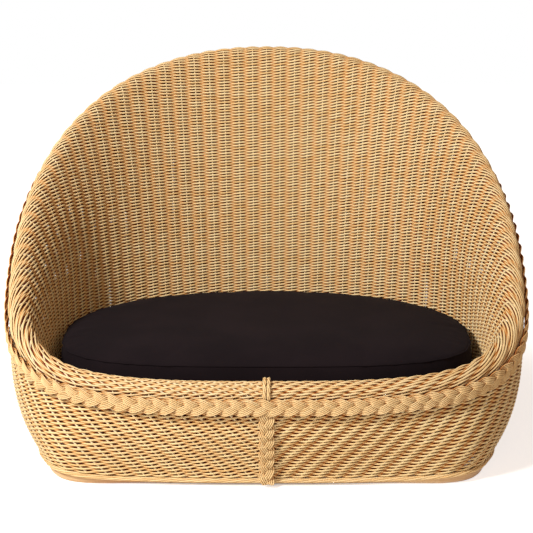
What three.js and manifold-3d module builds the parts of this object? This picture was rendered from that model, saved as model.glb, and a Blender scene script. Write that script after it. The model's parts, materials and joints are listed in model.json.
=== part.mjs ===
// Woven rattan floor chair with a loose seat cushion.
//
// A low, wide bucket seat. A frame of bent rattan poles (base ring, seat ring, rim hoop, uprights,
// posts and seat poles) carries two woven skins: an inner one that lines the seat and rolls over
// the rim hoop, and an outer skirt that runs from the rim down to the base ring. A long plait
// covers the join of the two skins all round the rim, and a short one covers the skirt's own join
// at the front. Millimetres, +Z up, the chair faces -Y, and it stands on the flat of its base ring.
import * as THREE from 'three';
import { mergeVertices } from 'three/addons/utils/BufferGeometryUtils.js';
import Module from 'manifold-3d';

const wasm = await Module();
wasm.setup();

// ---------------------------------------------------------------- driving sizes
// Seat outline, at the height of the woven seat. The chair is widest on the line y = 0.
const SEAT_HALF_WIDTH = 466;
const SEAT_FRONT_REACH = 282; // from the widest line to the front of the seat
const SEAT_BACK_REACH = 376; // from the widest line to the back of the seat
const SEAT_FRONT_SQUARENESS = 3.25; // exponent of the front half: 2 is an ellipse
const SEAT_BACK_SQUARENESS = 2.2;
const SEAT_HEIGHT = 160; // top of the woven seat

// Rim line: the centre of the rim hoop, level at the front and then climbing to the back.
const LIP_HEIGHT = 195; // height that the front of the rim tends to
const RIM_CLIMB = 0.812; // rise for each millimetre further back
const RIM_KNEE = -246; // y where the climb begins
const RIM_KNEE_LENGTH = 125; // how gently it begins
const RIM_FLARE_FRONT = 36; // hoop outside the seat outline
const RIM_FLARE_SIDE = 69;
const RIM_FLARE_BACK = 127;

// Base line: the foot of the skirt against the seat outline.
const BASE_FLARE_FRONT = -5;
const BASE_FLARE_SIDE = 36;
const BASE_FLARE_BACK = 24;
const BASE_CORNER = 42; // extra beside the two front corners
const SKIRT_FOOT = 18; // height of the skirt's lower edge
const SKIRT_FOOT_CORNER = 13; // how much higher it is at the front corners
const SKIRT_LEAN_FRONT = 21; // degrees out from upright, at the foot
const SKIRT_LEAN_SIDE = 30;
const SKIRT_LEAN_BACK = 16;

// Poles
const BASE_POLE = 28; // diameters
const BASE_FLAT = 1.5; // planed off the underside
const HOOP_POLE = 30;
const SEAT_POLE = 24;
const UPRIGHT_POLE = 18;
const POST_POLE = 22;
const CROSS_POLE = 22;
const UPRIGHTS = 10;
const CROSS_POLES = 4;
const CROSS_POLE_PITCH = 190;

// Weave and plaits
const SKIN = 6; // thickness of a woven skin
const SEAT_SKIN = 8; // thickness of the woven seat
const BORDER = 10; // bundle of strands along the skirt's foot
const PLAIT_WIDTH = 36;
const PLAIT_THICK = 13;
const PLAIT_PITCH = 31.5; // length of one leaf
const PLAIT_DROP = 9; // how much lower the long plait hangs at the front than at the sides
const FRONT_PLAIT_WIDTH = 34;
const FRONT_PLAIT_PITCH = 27;
const FRONT_PLAIT_FOOT = 9;
const SEAM_STRAND = 8;

// Cushion
const CUSHION_GAP = 6; // from the cushion to the seat's outline, at the sides
const CUSHION_FRONT_GAP = 18;
const CUSHION_BACK_GAP = 21;
const CUSHION_SIDE = 96; // from seat to top seam
const CUSHION_CROWN = 24;
const CUSHION_SEAM_IN = 0.012; // how far the seams draw the sides in, as a share of the radius

// Fits
const TOUCH = 0.4; // between pieces that are tied or nailed together
const BED = 1.5; // strands round the hoop, before they bed down
const STAKE_ROOM = 9; // between the skirt and an upright, for the skirt's stakes
const PLAIT_FIT = 1.1; // between the skins and the long plait
const JOIN = 2.4; // between the two skins, under the plait

// Smoothness of the solids
const STATIONS = 72;
const POLE_SIDES = 8;
const CUSHION_STATIONS = 48;

const rad = THREE.MathUtils.degToRad;
const ROLL = HOOP_POLE / 2 + BED + SKIN; // radius of the rolled rim

// ---------------------------------------------------------------- materials
const weave = new THREE.MeshStandardMaterial({ color: 0xcfa468, roughness: 0.62, metalness: 0 });
const plait = new THREE.MeshStandardMaterial({ color: 0xd3aa70, roughness: 0.6, metalness: 0 });
const pole = new THREE.MeshStandardMaterial({ color: 0xd9b183, roughness: 0.5, metalness: 0 });
const cloth = new THREE.MeshStandardMaterial({ color: 0x2b2429, roughness: 0.95, metalness: 0 });

const chair = new THREE.Group();

/** Adds a named mesh to the chair. */
function add(name, geometry, material) {
  const mesh = new THREE.Mesh(geometry, material);
  mesh.name = name;
  chair.add(mesh);
  return mesh;
}

// ---------------------------------------------------------------- outlines
/** Point and outward normal of a superellipse with its own reach and exponent front and back. */
function outline(psi, half, front, back, nFront, nBack) {
  const s = Math.sin(psi);
  const c = Math.cos(psi);
  const n = c > 0 ? nFront : nBack;
  const b = c > 0 ? front : back;
  const r = (Math.abs(s / half) ** n + Math.abs(c / b) ** n) ** (-1 / n);
  const gx = (Math.sign(s) * Math.abs((r * s) / half) ** (n - 1)) / half;
  const gy = (-Math.sign(c) * Math.abs((r * c) / b) ** (n - 1)) / b;
  const l = Math.hypot(gx, gy);
  return { x: r * s, y: -r * c, nx: gx / l, ny: gy / l };
}

/** Angles that cut the outline in equal lengths, from the middle of the front. */
function evenAngles(count, make) {
  const fine = 4000;
  const at = [0];
  let last = make(0);
  for (let i = 1; i <= fine; i++) {
    const p = make((2 * Math.PI * i) / fine);
    at.push(at[i - 1] + Math.hypot(p.x - last.x, p.y - last.y));
    last = p;
  }
  const angles = [];
  for (let k = 0, i = 0; k < count; k++) {
    const want = (at[fine] * k) / count;
    while (at[i + 1] < want) i++;
    angles.push((2 * Math.PI * (i + (want - at[i]) / (at[i + 1] - at[i]))) / fine);
  }
  return angles;
}

const seatOutline = (psi) =>
  outline(psi, SEAT_HALF_WIDTH, SEAT_FRONT_REACH, SEAT_BACK_REACH, SEAT_FRONT_SQUARENESS, SEAT_BACK_SQUARENESS);

/** A value that goes smoothly from front to side to back with the outline's normal. */
const around = (s, front, side, back) => side * s.nx ** 2 + (s.ny < 0 ? front : back) * s.ny ** 2;

/** 1 at a front corner, 0 at the middle of each side. */
const corner = (s) => (s.ny < 0 ? 4 * s.nx ** 2 * s.ny ** 2 : 0);

/** The same, but greatest where the front begins to turn into the corner. */
const bulge = (s) => (s.ny < 0 ? (27 / 4) * s.nx ** 2 * s.ny ** 4 : 0);

/** Height of the hoop's centre at a given y: a straight climb that begins gently. */
function rimHeight(y) {
  const d = y - RIM_KNEE;
  return LIP_HEIGHT + (RIM_CLIMB * (d + Math.hypot(d, RIM_KNEE_LENGTH))) / 2;
}

/** One upright plane through the chair, square to the seat outline, with what lies in it. */
function station(psi) {
  const s = seatOutline(psi);
  s.psi = psi;
  s.hoopOut = around(s, RIM_FLARE_FRONT, RIM_FLARE_SIDE, RIM_FLARE_BACK);
  s.hoopZ = rimHeight(s.y + s.ny * s.hoopOut);
  s.baseOut = around(s, BASE_FLARE_FRONT, BASE_FLARE_SIDE, BASE_FLARE_BACK) + BASE_CORNER * bulge(s);
  s.footZ = SKIRT_FOOT + SKIRT_FOOT_CORNER * corner(s);
  return s;
}

/** Stations with the slope of the rim, which stretches the roll in the upright plane. */
function stationAt(psi) {
  const s = station(psi);
  const a = station(psi - 0.004);
  const b = station(psi + 0.004);
  const run = Math.hypot(b.x + b.nx * b.hoopOut - a.x - a.nx * a.hoopOut, b.y + b.ny * b.hoopOut - a.y - a.ny * a.hoopOut);
  s.stretch = Math.hypot(run, b.hoopZ - a.hoopZ) / run;
  return s;
}

const ringStations = (count) => evenAngles(count, seatOutline).map(stationAt);
const at3 = (s, out, z) => new THREE.Vector3(s.x + s.nx * out, s.y + s.ny * out, z);

/** Cubic curve with given end points, end directions in degrees from upright, and handle share. */
function bend(p0, lean0, p1, lean1, share) {
  const d = Math.hypot(p1[0] - p0[0], p1[1] - p0[1]) * share;
  return new THREE.CubicBezierCurve(
    new THREE.Vector2(...p0),
    new THREE.Vector2(p0[0] + d * Math.sin(rad(lean0)), p0[1] + d * Math.cos(rad(lean0))),
    new THREE.Vector2(p1[0] - d * Math.sin(rad(lean1)), p1[1] - d * Math.cos(rad(lean1))),
    new THREE.Vector2(...p1),
  );
}

// ---------------------------------------------------------------- closed bodies
/** Turns a body's faces outward and gives it normals. */
function finish(geometry) {
  const p = geometry.attributes.position;
  const idx = geometry.index.array;
  const [a, b, c] = [new THREE.Vector3(), new THREE.Vector3(), new THREE.Vector3()];
  let volume = 0;
  for (let i = 0; i < idx.length; i += 3) {
    a.fromBufferAttribute(p, idx[i]);
    b.fromBufferAttribute(p, idx[i + 1]);
    c.fromBufferAttribute(p, idx[i + 2]);
    volume += a.dot(b.cross(c));
  }
  if (volume < 0) for (let i = 0; i < idx.length; i += 3) [idx[i], idx[i + 1]] = [idx[i + 1], idx[i]];
  geometry.computeVertexNormals();
  return geometry;
}

/** Skins a list of closed sections, either back onto the first one or with a cap at each end. */
function loft(sections, closed) {
  const rows = sections.length;
  const cols = sections[0].length;
  const pos = sections.flat().flatMap((v) => [v.x, v.y, v.z]);
  const idx = [];
  for (let i = 0; i < (closed ? rows : rows - 1); i++) {
    const n = (i + 1) % rows;
    for (let j = 0; j < cols; j++) {
      const m = (j + 1) % cols;
      idx.push(i * cols + j, n * cols + j, n * cols + m, i * cols + j, n * cols + m, i * cols + m);
    }
  }
  if (!closed) {
    for (const [row, flip] of [[0, false], [rows - 1, true]]) {
      const mid = new THREE.Vector3();
      sections[row].forEach((v) => mid.addScaledVector(v, 1 / cols));
      const hub = pos.length / 3;
      pos.push(mid.x, mid.y, mid.z);
      for (let j = 0; j < cols; j++) {
        const [p, q] = [row * cols + j, row * cols + ((j + 1) % cols)];
        idx.push(hub, flip ? q : p, flip ? p : q);
      }
    }
  }
  const geometry = new THREE.BufferGeometry();
  geometry.setAttribute('position', new THREE.Float32BufferAttribute(pos, 3));
  geometry.setIndex(idx);
  return finish(geometry);
}

/** Round sections of a pole along a list of points; each point's section lies across the path. */
function poleSections(points, diameter, closed, side, sides = POLE_SIDES) {
  return points.map((p, i) => {
    const n = points.length;
    const before = closed ? points[(i + n - 1) % n] : points[Math.max(i - 1, 0)];
    const after = closed ? points[(i + 1) % n] : points[Math.min(i + 1, n - 1)];
    const along = after.clone().sub(before).normalize();
    const u = side(i).clone();
    u.addScaledVector(along, -u.dot(along)).normalize();
    const v = along.clone().cross(u);
    return Array.from({ length: sides }, (_, k) => {
      const a = (2 * Math.PI * (k + 0.5)) / sides;
      return p.clone().addScaledVector(u, (diameter / 2) * Math.cos(a)).addScaledVector(v, (diameter / 2) * Math.sin(a));
    });
  });
}

const toSolid = (geometry) => {
  const bare = mergeVertices(new THREE.BufferGeometry().setAttribute('position', geometry.attributes.position).setIndex(geometry.index), 1e-4);
  return new wasm.Manifold(
    new wasm.Mesh({
      numProp: 3,
      vertProperties: new Float32Array(bare.attributes.position.array),
      triVerts: new Uint32Array(bare.index.array),
    }),
  );
};
const fromSolid = (solid) => {
  const mesh = solid.getMesh();
  const geometry = new THREE.BufferGeometry();
  geometry.setAttribute('position', new THREE.BufferAttribute(new Float32Array(mesh.vertProperties), 3));
  geometry.setIndex(new THREE.BufferAttribute(new Uint32Array(mesh.triVerts), 1));
  return finish(geometry);
};

/** A pole whose ends are coped to sit on the poles that it meets, with the offcuts thrown away. */
function coped(geometry, cutters) {
  const cut = cutters.reduce((left, c) => left.subtract(c), toSolid(geometry));
  return fromSolid(cut.decompose().reduce((best, part) => (part.volume() > best.volume() ? part : best)));
}

// ---------------------------------------------------------------- frame of bent poles
const ring = ringStations(STATIONS);

const basePoleOut = (s) => s.baseOut - BORDER / 10 - BORDER / 2 - TOUCH - BASE_POLE / 2;
const basePoleZ = BASE_POLE / 2 - BASE_FLAT;
const seatPoleOut = -TOUCH - SEAT_POLE / 2;
const seatPoleZ = SEAT_HEIGHT - SEAT_SKIN - TOUCH - SEAT_POLE / 2;

const basePath = (s) => at3(s, basePoleOut(s), basePoleZ);
const seatPath = (s) => at3(s, seatPoleOut, seatPoleZ);

/**
 * A pole or bundle bent round the chair, as a section in each station's upright plane. Where it
 * climbs, the section is stretched upright, so that it stays round across its own run.
 */
function ringSections(place, diameter, sides) {
  return ring.map((s) => {
    const [out, z, stretch] = place(s);
    return Array.from({ length: sides }, (_, k) => {
      const a = (2 * Math.PI * (k + 0.5)) / sides;
      return at3(s, out + (diameter / 2) * Math.cos(a), z + (diameter / 2) * stretch * Math.sin(a));
    });
  });
}
const basePlace = (s) => [basePoleOut(s), basePoleZ, 1];
const seatPlace = () => [seatPoleOut, seatPoleZ, 1];
const hoopPlace = (s) => [s.hoopOut, s.hoopZ, s.stretch];

// The base ring is planed flat underneath, where it stands on the floor.
const baseSections = ringSections(basePlace, BASE_POLE, POLE_SIDES);
for (const section of baseSections) for (const v of section) v.z = Math.max(v.z, 0);
add('base_ring', loft(baseSections, true), pole);
add('seat_ring', loft(ringSections(seatPlace, SEAT_POLE, 6), true), pole);
add('rim_hoop', loft(ringSections(hoopPlace, HOOP_POLE, POLE_SIDES), true), pole);

const grown = (place, diameter, sides) => toSolid(loft(ringSections(place, diameter + 2 * TOUCH, sides), true));
const baseCut = grown(basePlace, BASE_POLE, POLE_SIDES);
const seatCut = grown(seatPlace, SEAT_POLE, 6);
const hoopCut = grown(hoopPlace, HOOP_POLE, POLE_SIDES);

/** The skirt's outer face in a station's upright plane, from its foot to just below the roll. */
function skirtCurve(s) {
  const top = [s.hoopOut + ROLL, s.hoopZ - (JOIN + 1.6) * s.stretch];
  return bend(
    [s.baseOut, s.footZ],
    around(s, SKIRT_LEAN_FRONT, SKIRT_LEAN_SIDE, SKIRT_LEAN_BACK),
    top,
    plaitLean(s),
    0.4,
  );
}

/** How far the skirt still leans out under the plait. */
function plaitLean(s) {
  return around(s, 6, 0, 9);
}

/** A point by the join of the two skins, which hangs lower at the front and follows the skirt. */
function hang(s, [out, z]) {
  const drop = around(s, PLAIT_DROP, 0, 0);
  return [out - drop * Math.tan(rad(plaitLean(s))), z - drop * s.stretch];
}

/** The share of a rising curve at which it reaches a height. */
function shareAt(curve, z) {
  let [a, b] = [0, 1];
  for (let i = 0; i < 40; i++) {
    const m = (a + b) / 2;
    if (curve.getPoint(m).y < z) a = m;
    else b = m;
  }
  return a;
}

/** A curve moved square to itself, away from the chair's outside where the distance is negative. */
function beside(curve, u, distance) {
  const p = curve.getPoint(u);
  const t = curve.getTangent(u);
  return [p.x + t.y * distance, p.y - t.x * distance];
}

// Uprights stand on the base ring, follow the inside of the skirt and meet the hoop from below.
for (let k = 0; k < UPRIGHTS; k++) {
  const s = ringStations(UPRIGHTS * 2)[2 * k + 1];
  const curve = skirtCurve(s);
  const inset = -(SKIN + STAKE_ROOM + UPRIGHT_POLE / 2);
  const points = [basePath(s)];
  for (const u of [0.16, 0.36, 0.58, 0.8, 1]) points.push(at3(s, ...beside(curve, u, inset)));
  const across = new THREE.Vector3(-s.ny, s.nx, 0);
  const body = loft(poleSections(points, UPRIGHT_POLE, false, () => across), false);
  add(`upright_${k + 1}`, coped(body, [baseCut, hoopCut]), pole);
}

// Posts carry the seat ring on the base ring, midway between the uprights.
for (let k = 0; k < UPRIGHTS; k++) {
  const s = ringStations(UPRIGHTS)[k];
  const across = new THREE.Vector3(-s.ny, s.nx, 0);
  const points = [basePath(s), seatPath(s)];
  const body = loft(poleSections(points, POST_POLE, false, () => across), false);
  add(`seat_post_${k + 1}`, coped(body, [baseCut, seatCut]), pole);
}

/** The y of the outline, moved in by a distance, at a given x. */
function outlineY(x, inset, front) {
  let [a, b] = front ? [0, Math.PI / 2] : [Math.PI, Math.PI / 2];
  for (let i = 0; i < 50; i++) {
    const m = (a + b) / 2;
    const s = seatOutline(m);
    if (s.x - s.nx * inset < Math.abs(x)) a = m;
    else b = m;
  }
  const s = seatOutline(a);
  return s.y - s.ny * inset;
}

// Cross poles run from the front of the seat ring to its back, level with its top.
for (let k = 0; k < CROSS_POLES; k++) {
  const x = (k - (CROSS_POLES - 1) / 2) * CROSS_POLE_PITCH;
  const z = SEAT_HEIGHT - SEAT_SKIN - TOUCH - CROSS_POLE / 2;
  const inset = CROSS_POLE / 4 - seatPoleOut;
  const points = [
    new THREE.Vector3(x, outlineY(x, inset, true), z),
    new THREE.Vector3(x, outlineY(x, inset, false), z),
  ];
  const body = loft(poleSections(points, CROSS_POLE, false, () => new THREE.Vector3(1, 0, 0)), false);
  add(`seat_pole_${k + 1}`, coped(body, [seatCut]), pole);
}

// ---------------------------------------------------------------- woven skins
/** Point of the roll in a station's upright plane. 0 faces the seat, 90 is on top. */
const rollPoint = (s, radius, degrees) => [
  s.hoopOut - radius * Math.cos(rad(degrees)),
  s.hoopZ + radius * s.stretch * Math.sin(rad(degrees)),
];

/** Where the wall runs into the roll, and the wall's curve up to there. */
function wallCurve(s) {
  const start = around(s, 60, 35, 12);
  const lean = 90 - THREE.MathUtils.radToDeg(Math.atan2(s.stretch * Math.cos(rad(start)), Math.sin(rad(start))));
  const foot = [0, seatPoleZ - SEAT_POLE / 8];
  return { start, curve: bend(foot, around(s, 8, 4, 6), rollPoint(s, ROLL, start), lean, 0.36) };
}
const ROLL_END = 184; // where the inner skin stops, under the plait
const WALL_STEPS = [0, 0.28, 0.55, 0.8];
const ROLL_STEPS = [0, 0.28, 0.52, 0.76, 0.968]; // and from the last one it hangs straight

// The inner skin lines the seat, rolls over the hoop and stops on its outer side.
add(
  'inner_weave',
  loft(
    ring.map((s) => {
      const { start, curve } = wallCurve(s);
      const turn = (t) => start + (ROLL_END - start) * t;
      const face = WALL_STEPS.map((u) => beside(curve, u, 0));
      for (const t of ROLL_STEPS) face.push(rollPoint(s, ROLL, turn(t)));
      face.push(hang(s, rollPoint(s, ROLL, ROLL_END)));
      const inside = [hang(s, rollPoint(s, ROLL - SKIN, ROLL_END))];
      for (const t of [0.968, 0.76, 0.5, 0.25, 0]) inside.push(rollPoint(s, ROLL - SKIN, turn(t)));
      for (const u of [0.8, 0.5, 0]) inside.push(beside(curve, u, SKIN));
      return [...face, ...inside].map((p) => at3(s, ...p));
    }),
    true,
  ),
  weave,
);

// The skirt covers the frame from the base ring up to the roll.
add(
  'outer_weave',
  loft(
    ring.map((s) => {
      const curve = skirtCurve(s);
      const end = shareAt(curve, hang(s, [0, curve.getPoint(1).y])[1]);
      const face = [0, 0.2, 0.4, 0.6, 0.8, 1].map((u) => beside(curve, u * end, 0));
      const inside = [1, 0.8, 0.6, 0.4, 0.2, 0].map((u) => beside(curve, u * end, -SKIN));
      return [...face, ...inside].map((p) => at3(s, ...p));
    }),
    true,
  ),
  weave,
);

// The bundle of strands that finishes the skirt, under its lower edge.
const borderPlace = (s) => [s.baseOut - BORDER / 10, s.footZ - TOUCH - BORDER / 2, 1];
add('skirt_border', loft(ringSections(borderPlace, BORDER, 6), true), plait);

// The woven seat lies on the seat ring and the cross poles.
{
  const edge = ring.map((s) => new THREE.Vector2(s.x - s.nx * TOUCH, s.y - s.ny * TOUCH));
  const plate = new THREE.ExtrudeGeometry(new THREE.Shape(edge), { depth: SEAT_SKIN, bevelEnabled: false });
  plate.translate(0, 0, SEAT_HEIGHT - SEAT_SKIN);
  add('seat_weave', plate, weave);
}

// ---------------------------------------------------------------- plaits
/**
 * Section of a plait of broad flat leaves, lying on a face: out from the face and down across it.
 * The leaves of the two rows swell in turn, and each one slants from the middle to its edge.
 */
function plaitSection(width, thick, phase) {
  const swell = (row, slant) => 0.5 + 0.5 * Math.cos(2 * Math.PI * (phase + 0.5 * row - slant));
  const edge = (row) => (width / 2) * (0.93 + 0.07 * swell(row, 0.3));
  const leaf = (row, across, slant) => [thick * (across.lift + across.rise * swell(row, slant)), across.at * width];
  const outer = (row, sign) => leaf(row, { lift: 0.45, rise: 0.37, at: sign * 0.34 }, 0.22);
  const inner = (row, sign) => leaf(row, { lift: 0.62, rise: 0.38, at: sign * 0.15 }, 0);
  return [
    [0, -edge(0)],
    outer(0, -1),
    inner(0, -1),
    [thick * 0.62, 0],
    inner(1, 1),
    outer(1, 1),
    [0, edge(1)],
  ];
}

// The long plait runs all round the rim, over the join of the two skins.
{
  const centres = ring.map((s) => at3(s, s.hoopOut, s.hoopZ));
  const hoopLength = centres.reduce((sum, p, i) => sum + p.distanceTo(centres[(i + 1) % STATIONS]), 0);
  const leaves = Math.round(hoopLength / PLAIT_PITCH);
  const sections = ringStations(leaves * 2).map((s, i) => {
    const [out, z] = hang(s, [s.hoopOut + ROLL + PLAIT_FIT, s.hoopZ - (PLAIT_WIDTH / 2 + JOIN / 2) * s.stretch]);
    const lean = rad(plaitLean(s));
    return plaitSection(PLAIT_WIDTH, PLAIT_THICK, i / 2 + 0.1).map(([o, down]) =>
      at3(s, out + o * Math.cos(lean) + Math.min(0, -down) * Math.sin(lean / 2), z - (down * Math.cos(lean) + o * Math.sin(lean)) * s.stretch),
    );
  });
  add('rim_plait', loft(sections, true), plait);
}

// The front plait covers the skirt's upright join, from the long plait to the floor.
{
  const s = stationAt(0);
  const curve = skirtCurve(s);
  const top = hang(s, [0, s.hoopZ - (PLAIT_WIDTH + JOIN / 2 + 3 * TOUCH) * s.stretch])[1];
  const clear = s.footZ + 2 * BORDER; // from here down it hangs straight, outside the border
  const count = 2 * Math.round((top - FRONT_PLAIT_FOOT) / FRONT_PLAIT_PITCH);
  const outAt = (z) => curve.getPoint(shareAt(curve, z)).x;
  const sections = [];
  for (let i = 0; i <= count; i++) {
    const z = top + ((FRONT_PLAIT_FOOT - top) * i) / count;
    const out = outAt(Math.max(z, clear)) + TOUCH;
    sections.push(plaitSection(FRONT_PLAIT_WIDTH, PLAIT_THICK, i / 2 + 0.3).map(([o, across]) => new THREE.Vector3(across, s.y - out - o, z)));
  }
  add('front_plait', loft(sections, false), plait);
}

// Two strands cover the inner skin's join, from the seat over the roll to the long plait.
for (const [name, side] of [['seam_strand_left', -1], ['seam_strand_right', 1]]) {
  const s = stationAt(0);
  const { start, curve } = wallCurve(s);
  const lift = SEAM_STRAND / 2 + TOUCH;
  const path = WALL_STEPS.slice(1).map((u) => beside(curve, u, -lift));
  for (const t of ROLL_STEPS) path.push(rollPoint(s, ROLL + lift, Math.min(178, start + (ROLL_END - start) * t)));
  path.push([path.at(-1)[0], hang(s, path.at(-1))[1]]);
  const points = path.map(([out, z]) => new THREE.Vector3(side * (SEAM_STRAND + TOUCH) * 0.5, s.y - out, z));
  add(name, loft(poleSections(points, SEAM_STRAND, false, () => new THREE.Vector3(1, 0, 0)), false), plait);
}

// ---------------------------------------------------------------- cushion
/** Loose boxed cushion: flat underside, sides that swell between two seams, and a crowned top. */
{
  const make = (psi) =>
    outline(
      psi,
      SEAT_HALF_WIDTH - CUSHION_GAP,
      SEAT_FRONT_REACH - CUSHION_FRONT_GAP,
      SEAT_BACK_REACH - CUSHION_BACK_GAP,
      SEAT_FRONT_SQUARENESS,
      SEAT_BACK_SQUARENESS,
    );
  const edge = evenAngles(CUSHION_STATIONS, make).map(make);
  const low = SEAT_HEIGHT + TOUCH;
  const seam = 1 - CUSHION_SEAM_IN;
  const rings = [[0.5, 0], [0.94, 0], [0.975, CUSHION_SIDE * 0.015], [seam, CUSHION_SIDE * 0.08]];
  for (const t of [0.3, 0.55, 0.8]) rings.push([seam + CUSHION_SEAM_IN * Math.sin(Math.PI * t), CUSHION_SIDE * t]);
  rings.push([seam, CUSHION_SIDE]);
  for (const r of [0.96, 0.9, 0.78, 0.58, 0.3]) rings.push([r, CUSHION_SIDE + CUSHION_CROWN * (1 - (r / seam) ** 3.2)]);
  const sections = rings.map(([r, h]) => edge.map((p) => new THREE.Vector3(p.x * r, p.y * r, low + h)));
  const body = loft(sections, false);
  const hub = sections.length * CUSHION_STATIONS;
  body.attributes.position.setXYZ(hub + 1, 0, 0, low + CUSHION_SIDE + CUSHION_CROWN);
  add('seat_cushion', body, cloth);
}

// ---------------------------------------------------------------- origin
// The origin is on the floor, at the middle of the chair's width and depth.
{
  const box = new THREE.Box3().setFromObject(chair);
  chair.position.set(-(box.min.x + box.max.x) / 2, -(box.min.y + box.max.y) / 2, -box.min.z);
}

export default chair;
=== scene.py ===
# %% [markdown]
# # A woven rattan floor chair
# The real chair is a low, wide bucket seat: a frame of bent rattan poles, an inner and an outer
# woven skin, a long plait over their join, and a loose black cushion. We load the imported model, in
# metres, with +Z up and the chair facing -Y.

# %% Load the imported model
import json
import bpy
import numpy as np
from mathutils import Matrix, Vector

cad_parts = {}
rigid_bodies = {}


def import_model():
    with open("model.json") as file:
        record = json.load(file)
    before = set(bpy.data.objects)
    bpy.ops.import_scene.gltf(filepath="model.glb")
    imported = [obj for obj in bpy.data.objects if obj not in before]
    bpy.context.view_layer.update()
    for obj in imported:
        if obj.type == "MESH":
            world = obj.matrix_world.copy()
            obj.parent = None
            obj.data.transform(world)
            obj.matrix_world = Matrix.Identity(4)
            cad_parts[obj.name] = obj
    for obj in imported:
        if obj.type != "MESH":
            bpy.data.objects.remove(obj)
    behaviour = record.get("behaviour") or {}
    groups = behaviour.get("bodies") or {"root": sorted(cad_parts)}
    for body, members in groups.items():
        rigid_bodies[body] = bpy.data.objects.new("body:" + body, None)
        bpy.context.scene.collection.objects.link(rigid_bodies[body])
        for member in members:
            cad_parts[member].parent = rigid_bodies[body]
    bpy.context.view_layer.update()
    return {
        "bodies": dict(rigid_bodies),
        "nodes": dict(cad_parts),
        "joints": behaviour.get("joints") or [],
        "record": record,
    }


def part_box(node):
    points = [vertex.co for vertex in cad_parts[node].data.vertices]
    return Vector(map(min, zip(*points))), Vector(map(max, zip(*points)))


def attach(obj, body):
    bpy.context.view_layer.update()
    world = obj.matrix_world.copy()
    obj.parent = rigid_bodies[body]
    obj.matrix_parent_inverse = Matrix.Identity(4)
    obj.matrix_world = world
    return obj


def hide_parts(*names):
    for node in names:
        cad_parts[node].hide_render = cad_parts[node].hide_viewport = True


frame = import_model()
mine = set(frame["nodes"].values()) | set(frame["bodies"].values())
for leftover in [o for o in bpy.data.objects if o not in mine]:
    bpy.data.objects.remove(leftover)

# %% [markdown]
# ## The camera
# The photograph looks down on the chair by 14 degrees from straight ahead, through a long lens.
# A camera object could be turned by hand, but pointing it with to_track_quat says in one line
# what it looks at, and keeps the picture level.

# %% Camera
def new_object(name, data):
    """A new object in the scene, at the origin."""
    made = bpy.data.objects.new(name, data)
    bpy.context.scene.collection.objects.link(made)
    return made


VIEW_FROM = Vector((0.0, -3.514, 1.2576))
LOOK_AT = Vector((0.0, -0.021, 0.3867))
camera = new_object("camera", bpy.data.cameras.new("camera"))
camera.data.sensor_fit = "HORIZONTAL"
camera.data.sensor_width = 36.0
camera.data.lens = 108.3
camera.location = VIEW_FROM
camera.rotation_euler = (LOOK_AT - VIEW_FROM).to_track_quat("-Z", "Y").to_euler()
bpy.context.scene.camera = camera
bpy.context.scene.view_settings.view_transform = "Standard"
print("camera", round((LOOK_AT - VIEW_FROM).length, 3), "m from what it looks at")

# %% [markdown]
# ## Helpers for materials
# A material is a small graph of nodes. Placing each node by hand takes four or five lines, so one
# helper makes a node, sets what is given as a number and links what is given as a socket. Colours
# are written as the eye sees them on a screen, and turned into the linear light that Cycles wants.

# %% Node helpers
def paint(red, green, blue):
    """Linear colour from 0-255 screen values: each value is undone from the sRGB curve."""
    share = np.array([red, green, blue]) / 255
    linear = np.where(share <= 0.04045, share / 12.92, ((share + 0.055) / 1.055) ** 2.4)
    return (*linear.tolist(), 1.0)


def shade(tree, kind, inputs=None, **settings):
    """Makes a shader node, sets its settings, and sets or links each of its inputs."""
    made = tree.nodes.new("ShaderNode" + kind)
    for name, value in settings.items():
        setattr(made, name, value)
    for key, value in (inputs or {}).items():
        if isinstance(value, bpy.types.NodeSocket):
            tree.links.new(value, made.inputs[key])
        else:
            made.inputs[key].default_value = value
    return made


def fresh_material(name):
    """An empty node material and its tree."""
    material = bpy.data.materials.new(name)
    material.use_nodes = True
    material.node_tree.nodes.clear()
    return material, material.node_tree


def combine(tree, operation, first, second):
    """A Math node of two values."""
    return shade(tree, "Math", {0: first, 1: second}, operation=operation).outputs[0]


def blend_colours(tree, share, first, second, how="MIX"):
    """A Mix node for colours. Its colour inputs are numbers 6 and 7, and its colour output is 2."""
    return shade(tree, "Mix", {0: share, 6: first, 7: second}, data_type="RGBA", blend_type=how).outputs[2]


def stretch_values(tree, value, low, high, new_low=0.0, new_high=1.0, soft=True):
    """Map Range: carries low..high to new_low..new_high, smoothly where soft is true."""
    ends = {0: value, 1: low, 2: high, 3: new_low, 4: new_high}
    return shade(tree, "MapRange", ends, interpolation_type="SMOOTHSTEP" if soft else "LINEAR").outputs[0]


def noise(tree, vector, stretch=(1, 1, 1), scale=1.0, **inputs):
    """Noise over a position that is first stretched by a factor in each direction."""
    placed = shade(tree, "Mapping", {"Vector": vector, "Scale": stretch}).outputs[0]
    return shade(tree, "TexNoise", {"Vector": placed, "Scale": scale, **inputs}).outputs[0]


print("helpers for nodes are ready")

# %% [markdown]
# ## Floor, background and light
# The photograph is a cut-out on white. A studio would use a white paper sweep. Here the camera sees
# the floor as plain white, while other rays see an ordinary pale floor, so that it throws soft light
# up under the chair and no more. The world does the same behind it.

# %% White floor and world
def rays_that_show_white(tree):
    """1 for rays from the camera, off a mirror or through glass, and 0 for the light's own rays."""
    path = shade(tree, "LightPath").outputs
    seen = combine(tree, "MAXIMUM", path["Is Camera Ray"], path["Is Glossy Ray"])
    return combine(tree, "MAXIMUM", seen, path["Is Transmission Ray"])


FOOT_WIDE, FOOT_DEEP, FOOT_BACK = 0.49, 0.335, 0.031


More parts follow.
